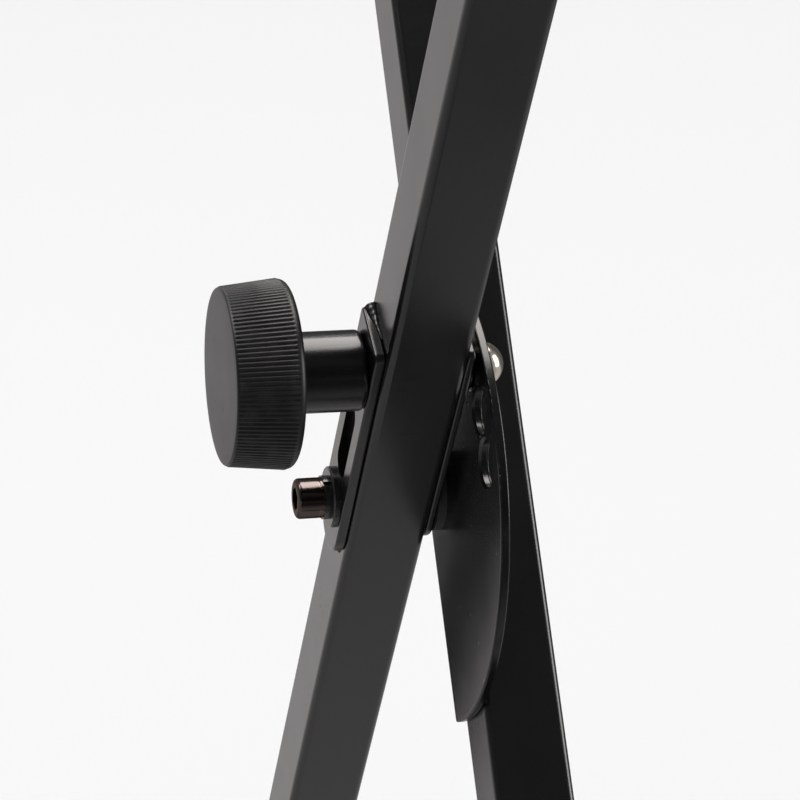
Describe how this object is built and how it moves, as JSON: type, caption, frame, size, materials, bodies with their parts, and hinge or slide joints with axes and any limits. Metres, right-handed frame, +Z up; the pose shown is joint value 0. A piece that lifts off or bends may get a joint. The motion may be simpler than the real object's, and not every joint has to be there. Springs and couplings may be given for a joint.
{
  "type": "keyboard stand",
  "caption": "Folding single-X keyboard stand of square steel tube with a spring-loaded lock pin, ribbed knob and round plate of lock holes.",
  "frame": {"origin": "floor level, below the pivot, midway between the two legs", "axes": "+Z up, +X along the width of the stand, -Y towards the knob"},
  "size_m": [0.5858, 0.4678, 0.8655],
  "materials": {
    "black_powder": "satin powder coat",
    "knob_plastic": "satin moulded",
    "black_oxide": "black oxide",
    "black_steel": "black plated",
    "nickel": "polished nickel",
    "zinc_steel": "bright zinc",
    "spring_steel": "oiled wire",
    "rubber": "matt",
    "cap_plastic": "fine texture",
    "brass": "turned"
  },
  "bodies": {
    "front_frame": {"front_leg_tube": "black_powder", "front_lock_plate": "black_powder", "rear_lock_plate": "black_powder", "pin_barrel": "black_powder", "front_arm_saddle": "black_powder", "front_arm_bar": "black_powder", "front_foot_saddle": "black_powder", "front_foot_bar": "black_powder", "pivot_bolt": "black_oxide", "pivot_split_washer": "black_steel", "pivot_flat_washer": "black_steel", "pivot_nut": "zinc_steel", "pivot_rear_washer": "zinc_steel", "front_pivot_bush": "zinc_steel", "front_arm_rivet_nuts": "zinc_steel", "front_arm_clamp_screws": "zinc_steel", "front_foot_rivet_nuts": "zinc_steel", "front_foot_clamp_screws": "zinc_steel", "pin_spring": "spring_steel", "front_foot_caps": "rubber", "front_arm_grips": "rubber", "front_arm_end_caps": "cap_plastic", "barrel_guide": "cap_plastic", "pivot_spacer": "cap_plastic"},
    "rear_frame": {"rear_leg_tube": "black_powder", "rear_arm_saddle": "black_powder", "rear_arm_bar": "black_powder", "rear_foot_saddle": "black_powder", "rear_foot_bar": "black_powder", "rear_pivot_bush": "zinc_steel", "rear_arm_rivet_nuts": "zinc_steel", "rear_arm_clamp_screws": "zinc_steel", "rear_foot_rivet_nuts": "zinc_steel", "rear_foot_clamp_screws": "zinc_steel", "rear_foot_caps": "rubber", "rear_arm_grips": "rubber", "rear_arm_end_caps": "cap_plastic", "lock_disc": "black_powder", "pivot_hole_plug": "cap_plastic"},
    "pull_pin": {"lock_pin": "nickel", "knob": "knob_plastic", "knob_insert": "brass"}
  },
  "joints": [
    {"name": "fold", "type": "hinge", "parent": "front_frame", "child": "rear_frame", "pos_m": [0, 0, 0.43334], "axis": [0, 1, 0], "range_deg": [-31.5, 63]},
    {"name": "pin_pull", "type": "slide", "parent": "front_frame", "child": "pull_pin", "axis": [0, -1, 0], "range_m": [0, 0.013], "stiffness_N_per_m": 700, "springref_m": -0.02, "deforming": ["pin_spring"]}
  ]
}
